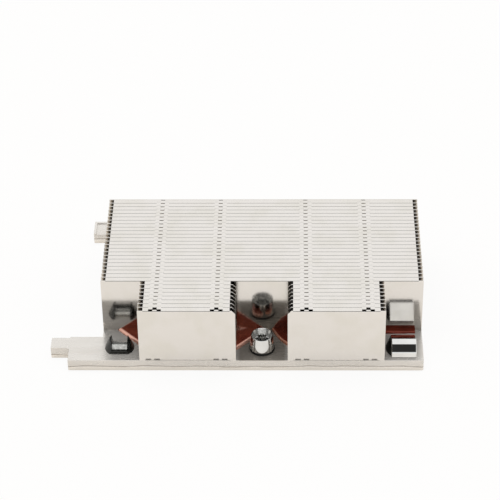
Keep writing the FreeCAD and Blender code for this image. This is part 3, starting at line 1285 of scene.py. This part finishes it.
@dataclass
class CornerCatch:
    """A nickel-plated folded hood held by a blackened piece. From a steep toe the hood leans
    back, rolls over a flatter crown and falls towards the fins. On the left it is low and lies
    inside its clip, and on the right it is tall and has a cheek beside it."""

    end: str
    side: Side
    hood_steps: int = 3
    hood_smooth_deg: float = 2.0
    holder_edge: float = 0.25
    holder_steps: int = 2
    opening_wide: float = 5.34
    opening_from: float = 2.3
    opening_to: float = 5.0
    cut_past: float = 1.0

    def hood(self, nickel: Material) -> None:
        """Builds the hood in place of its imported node.

        Args:
            nickel: the plating.
        """
        place = f"{self.end}_{self.side.value}"
        node = f"catch_hood_{place}"
        low, high = box_mm(node)
        inward = inward_from(self.end)
        long_edge = CAD_BOX[0][1] / MM * inward
        kind = LOW_HOOD if self.side is Side.LEFT else TALL_HOOD
        outline = [(long_edge + inward * reach, low[2] + z) for reach, z in kind.profile()]
        ends = [[(x, *spot) for spot in outline] for x in (low[0], high[0])]
        raw = drawn_out(node + "_folded", ends)
        cover = f"catch_cover_{place}"
        hood = softened(raw, kind.edge, self.hood_steps, cover, self.hood_smooth_deg)
        settle(hood, "heatsink", nickel, "bright_nickel", node)

    def open_clip(self, clip: Object) -> Object:
        """Opens the clip on the fins' side, where only its two arms stand.

        Args:
            clip: the clip's closed skin.

        Returns:
            The box that cuts it, to be removed once the clip is baked.
        """
        low, high = box_mm(f"catch_clip_{self.end}_left")
        inward, half = inward_from(self.end), self.opening_wide / 2
        x, y = (low[0] + high[0]) / 2, (low[1] + high[1]) / 2
        near, far = y + inward * self.opening_from, y + inward * self.opening_to
        plan = ((x - half, near), (x + half, near), (x + half, far), (x - half, far))
        levels = (low[2] - self.cut_past, high[2] + self.cut_past)
        ends = [[(*spot, z) for spot in plan] for z in levels]
        cutter = drawn_out(clip.name + "_cut", ends)
        cut = clip.modifiers.new("opening", "BOOLEAN")
        cut.operation, cut.object = "DIFFERENCE", cutter
        return cutter

    def build(self, nickel: Material, steel: Material) -> None:
        """Builds the hood and what holds it, with softened edges.

        Args:
            nickel: the hood's plating.
            steel: the holder's finish.
        """
        self.hood(nickel)
        place = f"{self.end}_{self.side.value}"
        node = f"catch_{'clip' if self.side is Side.LEFT else 'cheek'}_{place}"
        skin = merged_copy(node, node + "_skin")
        cutter = self.open_clip(skin) if self.side is Side.LEFT else None
        holder = softened(skin, self.holder_edge, self.holder_steps, f"catch_holder_{place}")
        if cutter:
            bpy.data.objects.remove(cutter)
        settle(holder, "heatsink", steel, "black_steel", node)


@dataclass
class BasePlate:
    """The two joined layers of the base, with lightly broken edges."""

    upper_edge: float = 0.22
    lower_edge: float = 0.3
    edge_steps: int = 2

    def build(self, upper: Material, lower: Material) -> None:
        """Builds both layers.

        Args:
            upper: finish of the grooved upper layer.
            lower: finish of the lower layer.
        """
        layers = (("base_upper", upper, self.upper_edge), ("base_lower", lower, self.lower_edge))
        for node, finish, edge in layers:
            skin = merged_copy(node, node + "_skin")
            plate = softened(skin, edge, self.edge_steps, node + "_plate")
            settle(plate, "heatsink", finish, node, node)


# ---- studio -------------------------------------------------------------------------------------
@dataclass
class Studio:
    """White table, broad soft lamp, a room that is dark behind the camera, and the camera."""

    eye: Point = (0.00886, -0.57686, 0.46276)
    pan_deg: float = -1.31
    tilt_deg: float = -37.44
    roll_deg: float = -0.81
    lens_mm: float = 152.3
    sensor_mm: float = 36.0
    clip_m: Pair = (0.05, 10.0)
    fill: float = 0.66
    bright: float = 1.0
    dark: float = 0.03
    dark_rise: Pair = (0.08, 0.2)
    dark_aside: Pair = (0.8, 0.6)
    dark_before: Pair = (-0.2, -0.36)
    dark_lift: float = 0.6
    lifted_depth: float = 2.0
    lamp_watts: float = 5.0
    lamp_place: Point = (-0.1, 0.05, 1.1)
    lamp_size: Pair = (1.2, 0.8)
    table_half: float = 3.0
    table_tint: str = "FAF5EE"
    table_roughness: float = 0.9
    table_gloss: float = 0.1
    white_share: float = 0.9
    mirrored_share: float = 0.3

    def camera(self) -> None:
        """Places the camera."""
        data = bpy.data.cameras.new("camera")
        data.sensor_width = self.sensor_mm
        data.lens = self.lens_mm
        data.clip_start, data.clip_end = self.clip_m
        camera = placed("camera", data)
        yaw, pitch = math.radians(self.pan_deg), math.radians(self.tilt_deg)
        level = math.cos(pitch)
        forward = Vector((math.sin(yaw) * level, math.cos(yaw) * level, math.sin(pitch)))
        turn = forward.to_track_quat("-Z", "Y").to_matrix().to_4x4()
        roll = Euler((0.0, 0.0, math.radians(self.roll_deg))).to_matrix().to_4x4()
        camera.matrix_world = turn @ roll
        camera.location = self.eye
        bpy.context.scene.camera = camera

    def floor(self) -> None:
        """Lays the white table, which lights and mirrors less than it shows to the eye."""
        material, tree = new_material("white_table")
        top = add_node(
            tree,
            "ShaderNodeBsdfPrincipled",
            values={
                "Base Color": linear(self.table_tint),
                "Roughness": self.table_roughness,
                "Specular IOR Level": self.table_gloss,
            },
        )
        white = add_node(tree, "ShaderNodeEmission", values={"Color": WHITE, "Strength": 1.0})
        path = add_node(tree, "ShaderNodeLightPath").outputs
        polished = add_node(
            tree,
            "ShaderNodeMath",
            {0: path["Is Glossy Ray"], 1: path["Is Transmission Ray"]},
            operation="MAXIMUM",
        )
        mirrored = add_node(
            tree, "ShaderNodeMapRange", {"Value": polished}, values={"To Max": self.mirrored_share}
        )
        share = add_node(
            tree,
            "ShaderNodeMapRange",
            {"Value": path["Is Camera Ray"], "To Min": mirrored},
            values={"To Max": self.white_share},
        )
        seen = add_node(tree, "ShaderNodeMixShader", {0: share, 1: top, 2: white})
        add_node(tree, "ShaderNodeOutputMaterial", {"Surface": seen})
        mesh = bpy.data.meshes.new("table_top")
        half = self.table_half
        corners = [(-half, -half, 0), (half, -half, 0), (half, half, 0), (-half, half, 0)]
        mesh.from_pydata(corners, [], [(0, 1, 2, 3)])
        mesh.materials.append(material)
        table = placed("table_top", mesh)

    def room(self) -> None:
        """Makes the room: white to the eye, and for polished metal bright all round but for a
        dark part before the object, which is high up unless it is seen by way of two mirrors."""
        world = bpy.data.worlds.new("room")
        world.use_nodes = True
        tree = world.node_tree
        tree.nodes.clear()
        path = add_node(tree, "ShaderNodeLightPath").outputs
        places = add_node(tree, "ShaderNodeTexCoord").outputs["Generated"]
        axes = add_node(tree, "ShaderNodeSeparateXYZ", {0: places}).outputs
        aside = add_node(tree, "ShaderNodeMath", {0: axes["X"]}, operation="ABSOLUTE")
        lift = add_node(
            tree,
            "ShaderNodeMapRange",
            {"Value": path["Ray Depth"]},
            values={
                "From Min": self.lifted_depth,
                "From Max": self.lifted_depth + 1.0,
                "To Min": self.dark_lift,
                "To Max": 0.0,
            },
        )
        over_lift = add_node(tree, "ShaderNodeMath", {0: axes["Z"], 1: lift}, operation="SUBTRACT")
        shade = where_all(
            tree,
            Ramp(over_lift, *self.dark_rise, "SMOOTHSTEP"),
            Ramp(aside, *self.dark_aside),
            Ramp(axes["Y"], *self.dark_before, "SMOOTHSTEP"),
        )
        level = add_node(
            tree,
            "ShaderNodeMapRange",
            {"Value": shade},
            values={"To Min": self.bright, "To Max": self.dark},
        )
        seen = add_node(
            tree,
            "ShaderNodeMath",
            {0: path["Is Camera Ray"], 1: path["Is Transmission Ray"]},
            operation="MAXIMUM",
        )
        mirrored = add_node(
            tree, "ShaderNodeBackground", {"Strength": level}, values={"Color": WHITE}
        )
        lit = add_node(tree, "ShaderNodeBackground", values={"Color": WHITE, "Strength": self.fill})
        white = add_node(tree, "ShaderNodeBackground", values={"Color": WHITE, "Strength": 1.0})
        indoors = add_node(
            tree, "ShaderNodeMixShader", {0: path["Is Glossy Ray"], 1: lit, 2: mirrored}
        )
        both = add_node(tree, "ShaderNodeMixShader", {0: seen, 1: indoors, 2: white})
        add_node(tree, "ShaderNodeOutputWorld", {"Surface": both})
        bpy.context.scene.world = world

    def lamp(self) -> None:
        """Hangs one soft box above, which no metal mirrors."""
        data = bpy.data.lights.new("soft_box", "AREA")
        data.shape = "RECTANGLE"
        data.size, data.size_y = self.lamp_size
        data.energy = self.lamp_watts
        lamp = placed("soft_box", data)
        lamp.location = self.lamp_place
        lamp.visible_glossy = False

    def build(self) -> None:
        """Sets up table, room, lamp and camera."""
        self.floor()
        self.room()
        self.lamp()
        self.camera()


PIPE_ROLLS = {Side.LEFT: 1.3, Side.RIGHT: 0.6}


def pipe_routes() -> dict[Side, tuple[Pair, ...]]:
    """Corners of each pipe's centre line in plan, in millimetres, from its rear end.

    Returns:
        The route of each side's pipe.
    """
    left = ((-48.5, 18.0), (-48.5, -18.1), (-34.4, -32.85), (-13.2, -32.85), (-2.0, -21.3))
    right = ((5.6, 18.0), (5.6, -19.4), (14.1, -36.0), (36.0, -21.1), (47.95, -21.1))
    return {Side.LEFT: left, Side.RIGHT: right}


def main() -> None:
    """Dresses the heatsink and sets up the studio."""
    logging.basicConfig(level=logging.INFO, format="%(name)s: %(message)s")
    bpy.context.scene.view_settings.view_transform = "Standard"
    nickel = BRIGHT_NICKEL.build()
    satin = SATIN_NICKEL.build()
    nylon = BLACK_NYLON.build()
    steel = BLACKENED_STEEL.build()
    copper = {Side.LEFT: DRAWN_COPPER.build(), Side.RIGHT: DARKER_COPPER.build()}
    hoods = {Side.LEFT: satin, Side.RIGHT: nickel}
    FinStack().build(ROLLED_SHEET.build())
    BasePlate().build(GROUND_PLATE.build(), MILLED_PLATE.build())
    for side, route in pipe_routes().items():
        HeatPipe(side, route, PIPE_ROLLS[side]).build(copper[side])
    for end in ("front", "rear"):
        CaptiveNut(end).build(nickel, satin, nylon)
        for side in Side:
            CornerCatch(end, side).build(hoods[side], steel)
    Studio().build()


if __name__ == "__main__":
    main()
